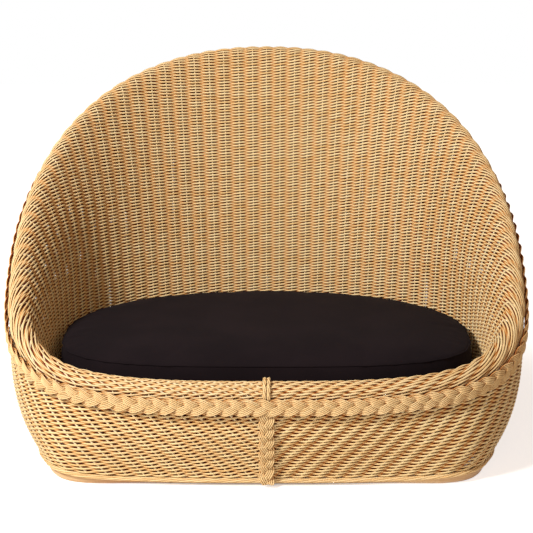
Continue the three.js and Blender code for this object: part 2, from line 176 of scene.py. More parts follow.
def white_floor(name, colour):
    """A matt floor plus a glow that only the camera sees. With x and y as shares of the chair's foot,
    |x|^3 + |y|^3 is 1 at its edge: the glow is 0 inside, 0.72 just outside and 1 far away. Leaving the
    glow off over the foot paints a shadow in its shape, under which the floor shows its own rendered shade."""
    material, tree = fresh_material(name)
    placed = shade(tree, "Mapping", {
        "Vector": shade(tree, "TexCoord").outputs["Object"],
        "Location": (0, FOOT_BACK / FOOT_DEEP, 0),
        "Scale": (1 / FOOT_WIDE, 1 / FOOT_DEEP, 0),
    }).outputs[0]
    size = shade(tree, "VectorMath", {0: placed}, operation="ABSOLUTE").outputs[0]
    cubed = shade(tree, "VectorMath", {0: size, 1: (3, 3, 3)}, operation="POWER").outputs[0]
    sides = shade(tree, "SeparateXYZ", {0: cubed}).outputs
    reach = combine(tree, "ADD", sides[0], sides[1])
    # Painted shadow: no glow over the chair's foot, rising to 0.72 just outside it.
    near = stretch_values(tree, reach, 0.75, 1.15, 0.0, 0.72)
    far = stretch_values(tree, reach, 2.5, 16.0, 0.0, 0.28)
    glow = combine(tree, "MULTIPLY", combine(tree, "ADD", near, far), rays_that_show_white(tree))
    matt = shade(tree, "BsdfDiffuse", {"Color": colour})
    white = shade(tree, "Emission", {"Color": (1, 1, 1, 1), "Strength": glow})
    both = shade(tree, "AddShader", {0: matt.outputs[0], 1: white.outputs[0]})
    shade(tree, "OutputMaterial", {"Surface": both.outputs[0]})
    return material


floor_mesh = bpy.data.meshes.new("floor")
floor_mesh.from_pydata([(-6, -6, 0), (6, -6, 0), (6, 6, 0), (-6, 6, 0)], [], [(0, 1, 2, 3)])
floor_mesh.materials.append(white_floor("pale floor", paint(236, 233, 228)))
new_object("floor", floor_mesh)

world = bpy.data.worlds.new("studio")
bpy.context.scene.world = world
world.use_nodes = True
sky = world.node_tree
sky.nodes.clear()
room = shade(sky, "Background", {"Color": paint(255, 198, 138), "Strength": 0.2})
plain = shade(sky, "Background", {"Color": (1, 1, 1, 1), "Strength": 1.0})
either = shade(sky, "MixShader", {0: rays_that_show_white(sky), 1: room.outputs[0], 2: plain.outputs[0]})
shade(sky, "OutputWorld", {"Surface": either.outputs[0]})
print("white floor and world")

# %% [markdown]
# The photograph's light comes from the upper left, and a weaker one fills in from the front: the
# left inner wall lies in soft brown shade, while the right one and the front are bright. Large
# area lamps give such soft edges. A sun would be simpler, but its shadows would be far too hard.

# %% Lamps
LAMPS_AT = Vector((0, 0, 0.35))


def lamp(name, place, size, power, colour=(1, 1, 1)):
    """A square area lamp that faces the middle of the chair."""
    light = bpy.data.lights.new(name, "AREA")
    light.shape, light.size, light.energy, light.color = "SQUARE", size, power, colour
    made = new_object(name, light)
    made.location = place
    made.rotation_euler = (LAMPS_AT - made.location).to_track_quat("-Z", "Y").to_euler()


lamp("key lamp", (-2.3, -2.6, 3.0), size=0.6, power=170, colour=(1.0, 0.985, 0.955))
lamp("front fill", (-0.3, -4.2, 1.4), size=2.0, power=22)
print("two lamps")

# %% [markdown]
# ## The outline of the seat
# Seen from above, the seat is a rounded shape that is squarer in front than behind. A spline could
# follow it, but one formula keeps it smooth everywhere: a superellipse, which is an ellipse whose
# square is swapped for another power. Each half has its own reach and power.

# %% Outline
SEAT_HALF, SEAT_FRONT, SEAT_BACK = 0.466, 0.282, 0.376
FRONT_POWER, BACK_POWER = 3.25, 2.2
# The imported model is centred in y, so its widest line lies in front of y = 0.
WIDEST_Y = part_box("seat_weave")[0][1] + SEAT_FRONT - 0.0004


def superellipse(turn, half, front, back):
    """x, y and outward normal: the radius is (|sin/half|^n + |cos/reach|^n)^(-1/n), from the front."""
    s, c = np.sin(turn), np.cos(turn)
    n = np.where(c > 0, FRONT_POWER, BACK_POWER)
    reach = np.where(c > 0, front, back)
    r = (np.abs(s / half) ** n + np.abs(c / reach) ** n) ** (-1 / n)
    gx = np.sign(s) * np.abs(r * s / half) ** (n - 1) / half
    gy = -np.sign(c) * np.abs(r * c / reach) ** (n - 1) / reach
    size = np.hypot(gx, gy)
    return r * s, -r * c, gx / size, gy / size


def length_along(points):
    """Running length of a line of points, from 0 at the first."""
    steps = np.linalg.norm(np.diff(points, axis=0), axis=1)
    return np.concatenate([[0.0], np.cumsum(steps)])


TURNS = np.linspace(0, 2 * np.pi, 4001)
GIRTHS = length_along(np.stack(superellipse(TURNS, SEAT_HALF, SEAT_FRONT, SEAT_BACK)[:2], axis=1))
GIRTH = GIRTHS[-1]
print("the seat is", round(GIRTH, 3), "m round; its widest line is at y =", round(WIDEST_Y, 4))

# %% [markdown]
# ## Rim line and base line
# Every upright plane square to that outline holds a slice of the chair: the hoop under the rim, the
# foot of the skirt, and the two skins between them. We measure how far each lies outside the
# outline, going smoothly from front to side to back with the direction of the outline's normal.

# %% Stations round the chair
ROLL_RADIUS, SKIN = 0.0225, 0.006
# In front, at the sides and behind: how far out the hoop and the skirt's foot lie, the leans from
# upright of the skirt's foot and top and of the lining's foot, the degrees at which the lining
# starts to roll, and how far down the skirt the join of the skins is moved.
HOOP_OUT, BASE_OUT = (0.036, 0.069, 0.127), (-0.005, 0.036, 0.024)
FOOT_LEAN, TOP_LEAN, SEAT_LEAN = (21, 30, 16), (6, 0, 9), (8, 4, 6)
ROLL_START, ROLL_END = (60, 35, 12), 184
WALL_FOOT_Z, JOIN_DROP = 0.1366, (0.005, 0, 0)
# Behind a given y the rim climbs at a slope, and in front of it the climb dies away softly.
FRONT_RIM, CLIMB, CLIMB_FROM, CLIMB_SOFT = 0.195, 0.812, -0.246, 0.125


def around(s, values):
    """side * nx^2 + (front or back) * ny^2: a value that turns with the outline's normal."""
    front, side, back = values
    return side * s["nx"] ** 2 + np.where(s["ny"] < 0, front, back) * s["ny"] ** 2


def flat_station(turn):
    """Outline point and normal, with the hoop's place and the skirt's foot in its upright plane. In
    front the hoop lies up to 4 mm lower; at its corners the foot goes 42 mm out and 13 mm up."""
    here = dict(zip(("x", "y", "nx", "ny"), superellipse(turn, SEAT_HALF, SEAT_FRONT, SEAT_BACK)))
    nx, ny, in_front = here["nx"], here["ny"], here["ny"] < 0
    here["hoop_out"] = around(here, HOOP_OUT)
    back = here["y"] + ny * here["hoop_out"] - CLIMB_FROM
    lip = 0.004 * np.where(in_front, 1 - nx**4, 0)
    here["hoop_z"] = FRONT_RIM + CLIMB * (back + np.hypot(back, CLIMB_SOFT)) / 2 - lip
    here["base_out"] = around(here, BASE_OUT) + 0.042 * np.where(in_front, 27 / 4 * nx**2 * ny**4, 0)
    here["foot_z"] = 0.018 + 0.013 * np.where(in_front, 4 * nx**2 * ny**2, 0)
    return here


def station(run):
    """The station at a length along the outline, and how much the rim's climb stretches the roll."""
    turn = np.interp(np.mod(run, GIRTH), GIRTHS, TURNS)
    here = flat_station(turn)
    before, after = flat_station(turn - 0.004), flat_station(turn + 0.004)
    dx, dy = [
        after[a] + after["n" + a] * after["hoop_out"] - before[a] - before["n" + a] * before["hoop_out"]
        for a in "xy"
    ]
    flat = np.hypot(dx, dy)
    here["stretch"] = np.hypot(flat, after["hoop_z"] - before["hoop_z"]) / flat
    return here


def in_space(here, out, z):
    """A point that lies out from the outline and at height z, as x, y, z in the chair's frame."""
    x = here["x"] + here["nx"] * out
    y = here["y"] + here["ny"] * out + WIDEST_Y
    return np.stack(np.broadcast_arrays(x, y, z), axis=-1)


tallest = station(np.array([0.0, GIRTH / 2]))["hoop_z"]
print("the hoop is", round(tallest[0], 3), "m up in front and", round(tallest[1], 3), "m up behind")

# %% [markdown]
# ## The skins as surfaces
# The inner skin rises from the seat, bends back, rolls over the hoop and stops on its outer side.
# The skirt bulges out from the base ring to just under the roll. Each slice is a cubic Bezier curve
# with a given lean at either end. Both skins become tables of points: one direction goes round the
# chair, the other goes up the slice in even steps of length.

# %% Slices of the two skins
ROUND, UP = 1440, 256
PLANES = station(np.arange(ROUND) * GIRTH / ROUND)


def bend(u, x0, z0, lean0, x1, z1, lean1, share):
    """Cubic Bezier between two points, leaving and arriving at given leans from upright, in degrees."""
    reach = share * np.hypot(x1 - x0, z1 - z0)
    a, b = np.radians(lean0), np.radians(lean1)
    weights = [(1 - u) ** 3, 3 * u * (1 - u) ** 2, 3 * u**2 * (1 - u), u**3]
    xs = [x0, x0 + reach * np.sin(a), x1 - reach * np.sin(b), x1]
    zs = [z0, z0 + reach * np.cos(a), z1 - reach * np.cos(b), z1]
    return sum(w * v for w, v in zip(weights, xs)), sum(w * v for w, v in zip(weights, zs))


def columns(here):
    """The same station with each value as a column, so that it spreads over a row of steps."""
    return {name: np.asarray(value)[:, None] for name, value in here.items()}


def roll_point(s, degrees):
    """Point of the rolled rim. 0 degrees faces the seat and 90 is on top of the hoop."""
    a = np.radians(degrees)
    return s["hoop_out"] - ROLL_RADIUS * np.cos(a), s["hoop_z"] + ROLL_RADIUS * s["stretch"] * np.sin(a)


def wall_slice(s, u):
    """The lining's wall: from the seat's edge to where it runs into the roll."""
    start = np.radians(around(s, ROLL_START))
    lean = 90 - np.degrees(np.arctan2(s["stretch"] * np.cos(start), np.sin(start)))
    end = roll_point(s, around(s, ROLL_START))
    return bend(u, 0.0, WALL_FOOT_Z, around(s, SEAT_LEAN), *end, lean, share=0.36)


def hang(s, out, z):
    """Moves a point by the join of the skins down along the skirt."""
    drop = around(s, JOIN_DROP)
    return out - drop * np.tan(np.radians(around(s, TOP_LEAN))), z - drop * s["stretch"]


def skirt_slice(s, u):
    """The skirt's outer face: from its foot to just below the roll."""
    x1, z1 = s["hoop_out"] + ROLL_RADIUS, s["hoop_z"] - 0.004 * s["stretch"]
    return bend(u, s["base_out"], s["foot_z"], around(s, FOOT_LEAN), x1, z1, around(s, TOP_LEAN), share=0.4)


def skirt_end(s):
    """The u at which each slice of the skirt stops, under the long plait."""
    u = np.linspace(0, 1, 400)
    z = skirt_slice(s, u)[1]
    stop = hang(s, 0, z[:, -1:])[1] - 0.004
    return np.array([[np.interp(top, heights, u)] for top, heights in zip(stop[:, 0], z)])


def inner_slice(s):
    """Wall and roll as one line of points, and which of them belong to the roll, from 0 to 1."""
    start, steps = around(s, ROLL_START), np.linspace(0, 1, 81)[1:]
    wall = np.stack(wall_slice(s, np.linspace(0, 1, 160)))
    roll = np.stack(roll_point(s, start + (ROLL_END - start) * steps))
    end = np.stack(hang(s, roll[0, :, -1:], roll[1, :, -1:] - 0.009))
    rolled = np.concatenate([np.zeros(160), steps, [1.0]])
    return *np.concatenate([wall, roll[..., :-1], (roll[..., -2:-1] + end) / 2, end], axis=2), rolled


print("slices of wall, roll and skirt are defined")

# %% [markdown]
# A table needs even steps of length, but a Bezier curve is not even in its parameter. For each
# slice we add up the lengths and look up the wanted ones. All slices are looked up in one call: a
# whole number that grows from slice to slice is added to both lists, so they stay in order.

# %% Even tables
def skin_surface(name, out, z, extra, depth, toward_seat):
    """Tables of a skin's middle surface in even steps: points, normals, directions up the slice, and
    extra, a value that goes with the slice's points."""
    steps = np.hypot(np.diff(out, axis=1), np.diff(z, axis=1))
    lengths = np.concatenate([np.zeros((ROUND, 1)), np.cumsum(steps, axis=1)], axis=1)
    total = lengths[:, -1]
    key = 2.0 * np.arange(ROUND)[:, None]
    have, want = (lengths / total[:, None] + key).ravel(), (np.linspace(0, 1, UP) + key).ravel()
    rows = out, z, np.tile(extra, (ROUND, 1))
    out, z, extra = [np.interp(want, have, v.ravel()).reshape(ROUND, UP) for v in rows]
    points = in_space(SLICES, out, z)
    up = np.gradient(points, axis=1)
    along = (np.roll(points, -1, axis=0) - np.roll(points, 1, axis=0)) / 2
    face = np.cross(along, up) * (-1.0 if toward_seat else 1.0)
    face /= np.linalg.norm(face, axis=2, keepdims=True)
    up /= np.linalg.norm(up, axis=2, keepdims=True)
    points = points - face * depth
    print(name, "skin: slices from", round(total.min(), 3), "to", round(total.max(), 3), "m long")
    return dict(points=points, face=face, up=up, extra=extra[..., None], length=total)


def on_skin(skin, what, run, share):
    """Value of a table at any place: the four nearest entries are averaged by closeness."""
    table = skin[what]
    i = np.mod(run, GIRTH) / GIRTH * ROUND
    j = np.clip(share, 0, 1) * (UP - 1)
    i0, j0 = np.floor(i).astype(int), np.minimum(np.floor(j).astype(int), UP - 2)
    f, g = (i - i0)[..., None], (j - j0)[..., None]
    i0, i1 = i0 % ROUND, (i0 + 1) % ROUND
    low, high = [table[i0, j] * (1 - f) + table[i1, j] * f for j in (j0, j0 + 1)]
    return low * (1 - g) + high * g


SLICES = columns(PLANES)
sunk = np.where(PLANES["ny"] < 0, 0.0015 + 0.0025 * (1 - PLANES["nx"] ** 4), 0.0015)[:, None, None]
lining = skin_surface("inner", *inner_slice(SLICES), sunk, True)
skirt_line = skirt_slice(SLICES, np.linspace(0, 1, 200) * skirt_end(SLICES))
skirt = skin_surface("outer", *skirt_line, np.linspace(1, 0, 200), SKIN / 2, False)

# %% [markdown]
# ## From lines to round strands
# Nearly every piece is a round strand that follows a line: poles, stakes, weavers and the reeds of
# the plaits. Blender's curve objects could do it, but thousands of them are slow and can't carry our
# values. So a small loom wraps rings of points round each line, and makes many strands one mesh.

# %% The strand maker
def unit(vectors):
    """Vectors of length 1 in the same directions."""
    return vectors / np.maximum(np.linalg.norm(vectors, axis=-1, keepdims=True), 1e-12)


def directions(line, closed):
    """Unit vectors along a line, from each point's two neighbours."""
    if closed:
        return unit(np.roll(line, -1, axis=0) - np.roll(line, 1, axis=0))
    return unit(np.gradient(line, axis=0))


def rejoined(line, closed):
    """A closed line with its first point again at its end, and an open line as it is."""
    return np.vstack([line, line[:1]]) if closed else line


class Bundle:
    """Collects strands, then makes them one mesh with their values stored on its points."""

    def __init__(self):
        self.points, self.quads, self.caps, self.rod, self.tone, self.depth = [], [], [], [], [], []
        self.count = 0

    def strand(self, line, face, deep, tall, sides=5, closed=False, tone=0.5, depth=1.0, edge=1.0):
        """Wraps an oval ring round each point of a line: line + deep cos(b) out + tall sin(b) side.
        The depth that it stores, from which the finishes paint shade, is the strand's own, plus edge times
        how far a point stands out."""
        line, face = np.asarray(line, float), np.broadcast_to(face, np.shape(line))
        steps = len(line)
        along = directions(line, closed)
        side = unit(np.cross(along, face))
        out = np.cross(side, along)
        b = 2 * np.pi * np.arange(sides) / sides
        deep = np.broadcast_to(deep, steps)[:, None] * np.cos(b)
        tall = np.broadcast_to(tall, steps)[:, None] * np.sin(b)
        ring = line[:, None] + deep[..., None] * out[:, None] + tall[..., None] * side[:, None]
        within = np.stack(np.broadcast_arrays(length_along(line)[:, None], deep, tall), axis=-1)
        self.points.append(ring.reshape(-1, 3))
        self.rod.append(within.reshape(-1, 3) + [float(self.count % 977), 0, 0])
        self.tone.append(np.repeat(np.broadcast_to(tone, steps), sides))
        proud = np.einsum("skc,sc->sk", ring - line[:, None], face)
        self.depth.append((np.broadcast_to(depth, steps)[:, None] + edge * proud).ravel())
        k = np.arange(sides)
        here = np.arange(steps if closed else steps - 1)[:, None] * sides
        there, beside = (here + sides) % (steps * sides), (k + 1) % sides
        corners = [here + k, here + beside, there + beside, there + k]
        self.quads.append(np.stack(corners, axis=-1).reshape(-1, 4) + self.count)
        if not closed:
            self.caps.append(np.stack([k[::-1], (steps - 1) * sides + k]) + self.count)
        self.count += steps * sides

    def triangles(self):
        """How many triangles the mesh will have."""
        return 2 * sum(len(q) for q in self.quads) + sum(c.size - 2 * len(c) for c in self.caps)

    def mesh(self, name):
        """Puts points, faces and values into a new mesh in a few whole-array calls."""
        made = bpy.data.meshes.new(name)
        faces = [np.concatenate(self.quads), *self.caps]
        sizes = np.concatenate([np.full(len(f), f.shape[1]) for f in faces])
        for part, key, values in (
            (made.vertices, "co", np.concatenate(self.points).astype(np.float32)),
            (made.loops, "vertex_index", np.concatenate([f.ravel() for f in faces]).astype(np.int32)),
            (made.polygons, "loop_start", (np.cumsum(sizes) - sizes).astype(np.int32)),
        ):
            part.add(len(values))
            part.foreach_set(key, values.ravel())
        made.update(calc_edges=True)
        made.shade_smooth()
        for label, kind, key, values in (
            ("rod", "FLOAT_VECTOR", "vector", self.rod),
            ("tone", "FLOAT", "value", self.tone),
            ("depth", "FLOAT", "value", self.depth),
        ):
            stored = made.attributes.new(label, kind, "POINT")
            stored.data.foreach_set(key, np.concatenate(values).astype(np.float32).ravel())
        return made


def take_part(piece, material, node, body):
    """Gives a piece its finish, lets it ride on a body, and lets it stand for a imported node."""
    piece.data.materials.append(material)
    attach(piece, body)
    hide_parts(node)


def place(name, bundle, material, slot, node, body="chair"):
    """Makes a finished bundle an object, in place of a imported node."""
    take_part(new_object(name, bundle.mesh(name)), material, node, body)
    print(name, bundle.triangles(), "triangles")


print("the strand maker is ready")

# %% [markdown]
# ## Rattan finishes
# Rattan core is straw coloured, with fine fibres along it, warmer in some strands than in others.
# Where a point lies deep in the weave, at the edges of strands and behind the stakes, painted shade
# turns it gold and then dark brown. The strands carry three stored values: where a point lies along
# and across its own strand, its strand's tone, and how far it stands out of the weave. One node group
# turns them into colour with that painted shade, roughness and a fine normal.

# %% Strand finish, as a node group
def stored(tree, name):
    """The Attribute node of a value that is stored on the mesh."""
    return shade(tree, "Attribute", attribute_name=name, attribute_type="GEOMETRY")


# Colours of the painted shade: a little way into the weave, and deep in it.
PAINTED_HALF_SHADE, PAINTED_DEEP_SHADE = paint(204, 134, 52), paint(124, 40, 8)  # a little way into the weave, and deep in it
finish = bpy.data.node_groups.new("rattan strand", "ShaderNodeTree")
for way, sockets in (
    ("INPUT", {"Pale": "Color", "Warm": "Color", "Hollow": "Float", "Proud": "Float"}),
    ("OUTPUT", {"Color": "Color", "Roughness": "Float", "Normal": "Vector"}),
):
    for label, kind in sockets.items():
        finish.interface.new_socket(label, in_out=way, socket_type="NodeSocket" + kind)
given, result = finish.nodes.new("NodeGroupInput").outputs, finish.nodes.new("NodeGroupOutput").inputs
rod = stored(finish, "rod").outputs["Vector"]
fibre = noise(finish, rod, (30, 1400, 1400), Detail=3.0, Roughness=0.6)
patch = noise(finish, rod, (9, 120, 120), Detail=2.0)
tone = stored(finish, "tone").outputs["Fac"]
toned = shade(finish, "Math", {0: patch, 1: 0.55, 2: tone}, operation="MULTIPLY_ADD").outputs[0]
toned = stretch_values(finish, toned, 0.25, 1.5)
body = blend_colours(finish, toned, given["Pale"], given["Warm"])
streak = stretch_values(finish, fibre, 0.3, 0.7, 0.86, 1.08)
grey = shade(finish, "CombineColor", {0: streak, 1: streak, 2: streak}).outputs[0]
streaked = blend_colours(finish, 1.0, body, grey, "MULTIPLY")
# Painted shade: the strand's own colour at the depth Proud, turning gold below it and dark brown at Hollow.
depth = stored(finish, "depth").outputs["Fac"]
unshaded_share = stretch_values(finish, depth, given["Hollow"], given["Proud"], soft=False)
painted_shade_colour = blend_colours(finish, stretch_values(finish, unshaded_share, 0.0, 0.45), PAINTED_DEEP_SHADE, PAINTED_HALF_SHADE)
shaded = blend_colours(finish, stretch_values(finish, unshaded_share, 0.4, 1.0), painted_shade_colour, streaked)
bumped = shade(finish, "Bump", {"Height": fibre, "Strength": 0.35, "Distance": 0.0006}).outputs[0]
rough = stretch_values(finish, fibre, 0.3, 0.7, 0.52, 0.7)
for label, value in (("Color", shaded), ("Roughness", rough), ("Normal", bumped)):
    finish.links.new(value, result[label])


def finished(tree, inputs):
    """Ends a material with a Principled shader."""
    shade(tree, "OutputMaterial", {"Surface": shade(tree, "BsdfPrincipled", inputs).outputs[0]})


def strand_material(name, pale, warm, hollow, proud):
    """A rattan finish with its own colours, and its own depths at which its painted shade is full and at
    which it ends.
    """
    material, tree = fresh_material(name)
    coloured = shade(tree, "Group", node_tree=finish)
    values = {"Pale": paint(*pale), "Warm": paint(*warm), "Hollow": hollow, "Proud": proud}
    for key, value in values.items():
        coloured.inputs[key].default_value = value
    colour, rough, bumps = coloured.outputs
    finished(tree, {"Base Color": colour, "Roughness": rough, "Normal": bumps, "Specular IOR Level": 0.35})
    return material


inside_rattan = strand_material("inside weave", (254, 230, 178), (234, 188, 118), hollow=0.0, proud=0.0028)
skirt_rattan = strand_material("skirt weave", (254, 230, 174), (232, 184, 112), hollow=0.0002, proud=0.0030)
stake_rattan = strand_material("stakes", (255, 240, 200), (252, 226, 172), hollow=-0.0024, proud=0.0012)
plait_rattan = strand_material("plait reeds", (250, 220, 166), (228, 184, 118), hollow=-0.0024, proud=0.0020)
print("four rattan finishes")

# %% [markdown]
# ## Pairing: how the skins are woven
# The skins are not a plain over-and-under weave. Two strands go round together and make half a turn
# about each other between one stake and the next, so that at each stake one lies in front and one
# behind. Basket makers call it pairing. Between the stakes the strands of a row lie over each other
# and touch the next row; at each stake the rows part, and a bit of stake shows beside a dark hole.
# So a strand is offset from the skin by a cos(pi q / pitch) squarely and b sin(pi q / pitch) along
# it, where q counts length along the row, and its partner is offset the other way.
#
# Each skin's plan holds the number of stakes; the pitch of its rows in front, at the sides and
# behind; how far its strands swing out, their half height and half depth; how much slimmer they are
# at a stake, and how fast that dies away towards the back; and which way the partners turn.
#
# The stakes don't stand upright everywhere. Over the lip in front and down the skirt they lean
# outward from the middle, so the count q is the length along the row plus a shift that grows down
# the slice. On the lining the lean dies away towards the sides, and on the skirt towards the back.

# %% Plans of the two skins, and how the stakes lean
def lip_lean(run):
    """1 just right of the front, falling to 0 at the sides, and -1 just left of the front."""
    turn = 2 * np.pi * run / GIRTH
    return np.sign(np.sin(turn)) * np.maximum(np.cos(turn), 0) ** 0.8


def skirt_lean(run):
    """1 just right of the front, 0 behind, and -1 just left of the front."""
    return 1 - 2 * np.mod(run, GIRTH) / GIRTH


LINING = dict(stakes=86, pitch=(0.0072, 0.0080, 0.0068), lift=0.0029, tall=0.0024, thick=0.0018,
              waist=0.06, shut=0.0, hand=-1.0, shift=0.086, lean=lip_lean)
SKIRT = dict(stakes=82, pitch=(0.0083, 0.0080, 0.0070), lift=0.0031, tall=0.0027, thick=0.0019,
             waist=0.12, shut=5.0, hand=1.0, shift=0.165, lean=skirt_lean)
for label, plan in (("inner", LINING), ("skirt", SKIRT)):
    plan["gap"] = GIRTH / plan["stakes"]
    print(label, "stakes every", round(plan["gap"] * 1000, 1), "mm, leaning by", plan["shift"], "m at most")


def stake_count(skin, plan, run, share):
    """q, the length by which stakes are counted, at any place of a skin."""
    return run + plan["shift"] * plan["lean"](run) * on_skin(skin, "extra", run, share)[..., 0]

# %% [markdown]
# The rows start at the foot of each skin and lie at an even pitch above one another. They stay
# nearly level while the rim climbs and cuts them off one by one, which is how the back can be four
# times as tall as the front without any crowding.

# %% Rows of both skins
RUN_GRID = np.arange(ROUND + 1) * GIRTH / ROUND
FULL_PIECE = 170000  # triangles after which a new piece starts


def stretches(wanted):
    """First and last + 1 of each stretch of at least four true values in a row."""
    edges = np.flatnonzero(np.diff(np.concatenate([[0], wanted.astype(int), [0]])))
    return [(first, last) for first, last in zip(edges[::2], edges[1::2]) if last - first >= 4]


def slow_tones(rng, run, spacing, low, high):
    """A tone that changes slowly along a strand: random values joined by straight lines."""
    knots = np.arange(0, run.max() + 2 * spacing, spacing)
    return np.interp(run, knots, rng.uniform(low, high, len(knots)))


def pair_row(bundle, skin, plan, row, rng):
    """Both strands of each stretch of a row. The pitch is a quadratic in how far round to the back
    it is, and a strand behind the stakes counts as deeper than one before them counts as proud."""
    run = np.arange(0.0012, GIRTH - 0.0006, plan["gap"] / 5)
    front, side, back = plan["pitch"]
    rear = 0.5 - 0.5 * np.cos(2 * np.pi * run / GIRTH)
    pitch = front * (1 - rear) * (1 - 2 * rear) + 4 * side * rear * (1 - rear) + back * rear * (2 * rear - 1)
    share = (row + 0.5) * pitch / np.interp(run, RUN_GRID, np.append(skin["length"], skin["length"][0]))
    for first, last in stretches(share < 0.999):
        r, at, high, far = [v[first:last] for v in (run, share, pitch, rear)]
        middle, face, up = [on_skin(skin, what, r, at) for what in ("points", "face", "up")]
        face, up = unit(face), unit(up)
        turn = np.pi * stake_count(skin, plan, r, at) / plan["gap"]
        waist = np.maximum(plan["waist"] * (1 - plan["shut"] * far**2), -0.25)
        tall = plan["tall"] * np.minimum(high / back, 1.0) * (1 - waist * np.cos(turn) ** 4)
        for sign in (1.0, -1.0):
            lift = sign * plan["lift"] * np.cos(turn)
            sway = sign * plan["hand"] * np.sin(turn) * high / 4
            wobble = slow_tones(rng, r - r[0], 0.05, -0.00022, 0.00022)
            line = middle + lift[:, None] * face + (sway + wobble)[:, None] * up
            tone = slow_tones(rng, r - r[0], 0.07, 0.0, 0.5) + rng.uniform(0, 0.3)
            # Painted shade: the stored depth darkens a strand where it passes behind the stakes, and its
            # edges more than its crest.
            depth = np.where(lift < 0, 1.3, 0.5) * lift
            bundle.strand(line, face, plan["thick"], tall, tone=tone, depth=depth, edge=1.7)


def weave(name, skin, plan, material, node, seed):
    """Weaves every row of a skin, and starts a new piece whenever one is nearly too large."""
    rng = np.random.default_rng(seed)
    rows = int(skin["length"].max() / plan["pitch"][2])
    pieces, bundle = 0, Bundle()
    for row in range(rows):
        pair_row(bundle, skin, plan, row, rng)
        if bundle.triangles() > FULL_PIECE or row == rows - 1:
            pieces += 1
            place(f"{name}_{pieces}", bundle, material, "weave", node)
            bundle = Bundle()
    print(rows, "rows")


weave("inner_rows", lining, LINING, inside_rattan, "inner_weave", seed=11)
weave("skirt_rows", skirt, SKIRT, skirt_rattan, "outer_weave", seed=12)

# %% [markdown]
# ## The stakes
# The rows are woven over the stakes. For each stake we look for the place on every level of the skin
# where the count is its own. Those that meet the join in front end there.

# %% Stakes of both skins
def stakes_of(name, skin, plan, node, thick, wide, seed):
    """One thin strand per stake, following the skin's middle from its foot to its top edge. The run at
    which the count is its own is closed in on in 40 steps, for all levels at once."""
    rng, bundle = np.random.default_rng(seed), Bundle()
    share = np.linspace(0.004, 0.996, 90)
    spare = int(plan["shift"] / plan["gap"]) + 1
    for k in range(-spare, plan["stakes"] + spare + 1):
        q = k * plan["gap"]
        run = np.full(len(share), q)
        for _ in range(40):
            run = np.clip(run + 0.6 * (q - stake_count(skin, plan, run, share)), 0.0008, GIRTH - 0.0008)
        for first, last in stretches(np.abs(stake_count(skin, plan, run, share) - q) < 0.0015):
            points, face = [on_skin(skin, w, run[first:last], share[first:last]) for w in ("points", "face")]
            bundle.strand(points, unit(face), thick, wide, tone=rng.uniform(0, 0.6), depth=0.0)
    place(name, bundle, stake_rattan, "weave", node)


stakes_of("inner_stakes", lining, LINING, "inner_weave", thick=0.0026, wide=0.0017, seed=21)
stakes_of("skirt_stakes", skirt, SKIRT, "outer_weave", thick=0.0038, wide=0.0023, seed=22)

# %% [markdown]
# ## The woven seat
# The cushion hides the seat, but it shows when the cushion is lifted and from below. It is woven in
# the same pairing, in straight rows from side to side over stakes that run from front to back.

# %% Seat rows and stakes
SEAT_MIDDLE_Z, SEAT_GAP, SEAT_PITCH = 0.156, 0.034, 0.0083
UPWARD = np.array([0, 0, 1.0])


def half_width(y):
    """Half the seat's width at a y from its widest line: the superellipse solved for x."""
    reach, n = (SEAT_FRONT, FRONT_POWER) if y < 0 else (SEAT_BACK, BACK_POWER)
    return SEAT_HALF * (1 - abs(y / reach) ** n) ** (1 / n)


def seat_ends(x, spare):
    """The y of the seat's front and back edge at a given x, moved inward by a spare length."""
    ends = [(-SEAT_FRONT, FRONT_POWER), (SEAT_BACK, BACK_POWER)]
    front, back = [reach * (1 - abs(x / SEAT_HALF) ** n) ** (1 / n) for reach, n in ends]
    return front + spare, back - spare


seat_rng = np.random.default_rng(31)
seat_bundle, stake_bundle = Bundle(), Bundle()
for y in np.arange(-SEAT_FRONT + 0.006, SEAT_BACK - 0.006, SEAT_PITCH):
    count = int((half_width(y) - 0.004) / (SEAT_GAP / 4))
    x = np.arange(-count, count + 1) * SEAT_GAP / 4
    turn = np.pi * x / SEAT_GAP
    for sign in (1.0, -1.0):
        lift, sway = sign * 0.0023 * np.cos(turn), sign * 0.0019 * np.sin(turn)
        line = np.stack([x, WIDEST_Y + y + sway, SEAT_MIDDLE_Z + lift], axis=1)
        tone = slow_tones(seat_rng, x - x[0], 0.16, 0.0, 0.6)
        # The lift is stored as depth, so the finish paints the lower parts of each strand darker as shade.
        seat_bundle.strand(line, UPWARD, 0.0015, 0.0021, tone=tone, depth=lift)
for k in range(-13, 14):
    y = np.linspace(*seat_ends(k * SEAT_GAP, 0.003), 40)
    line = np.stack([np.full(40, k * SEAT_GAP), WIDEST_Y + y, np.full(40, SEAT_MIDDLE_Z)], axis=1)
    stake_bundle.strand(line, UPWARD, 0.0016, 0.0016, sides=6, depth=0.0)
place("seat_rows", seat_bundle, inside_rattan, "weave", "seat_weave")
place("seat_stakes", stake_bundle, stake_rattan, "weave", "seat_weave")

# %% [markdown]
# ## Plaits
# The long plait is an ordinary plait of three, but each of its strands is a flat bundle of reeds.
# Looking along it, a bundle swings from edge to edge as sin(t), and goes over and under as sin(2t);
# the other two bundles follow a third and two thirds of a turn behind. The reeds of a bundle lie
# side by side, square to the bundle's own run, and its middle reeds stand a little prouder.

# %% Plait of three flat bundles
SWING_SHARP, CROSS_SHARP = 0.93, 1.5  # how long a bundle stays at an edge, and over or under
PLAIT_OUT, PLAIT_OVER, PLAIT_CROWN = 0.0054, 0.0032, 0.0007
BUNDLE_SHARE, NEAR = 0.46, 0.002  # a bundle's share of the plait's width; how far it looks to aim


